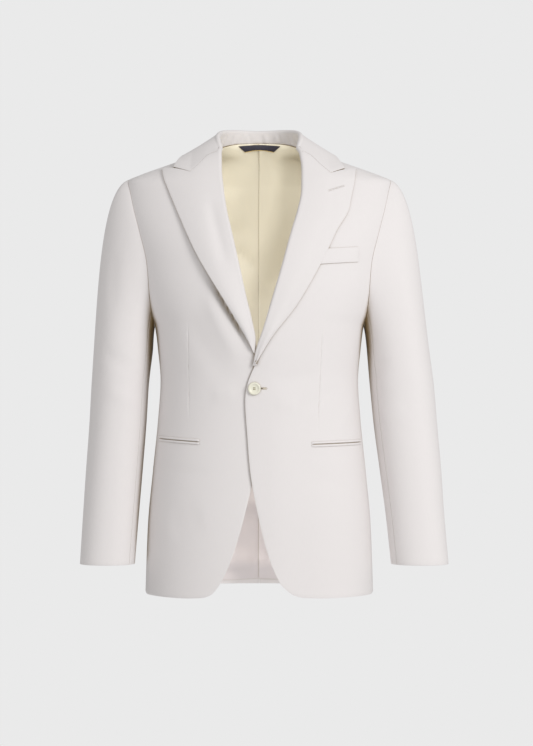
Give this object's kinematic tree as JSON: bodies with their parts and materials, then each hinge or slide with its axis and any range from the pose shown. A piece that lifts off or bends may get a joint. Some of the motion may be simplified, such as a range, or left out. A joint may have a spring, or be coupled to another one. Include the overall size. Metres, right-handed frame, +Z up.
{
  "type": "tuxedo jacket",
  "caption": "Hollow one-button dinner jacket with peak lapels, jetted hip pockets and a chest welt, filled out as worn, neck, hem, armholes and cuffs open.",
  "frame": {"origin": "middle of the neck base, between the two points where the shoulder seams meet the collar, where a neck and shoulders hold the jacket up", "axes": "+Z up, -Y to the front, +X to the wearer's left"},
  "size_m": [0.6091, 0.258, 0.7765],
  "materials": {
    "wool": "fine matt off-white wool",
    "lining": "cream satin lining",
    "label": "dark woven cloth, bare",
    "button": "polished ivory"
  },
  "bodies": {
    "root": {"front_left": "wool", "front_right": "wool", "side_left": "wool", "side_right": "wool", "back_left": "wool", "back_right": "wool", "sleeve_top_left": "wool", "sleeve_top_right": "wool", "sleeve_under_left": "wool", "sleeve_under_right": "wool", "lapel_left": "wool", "lapel_right": "wool", "collar": "wool", "jet_upper_left": "wool", "jet_lower_left": "wool", "jet_upper_right": "wool", "jet_lower_right": "wool", "chest_welt": "wool", "lining_left": "lining", "lining_right": "lining", "neck_label": "label", "front_button": "button"}
  },
  "joints": []
}
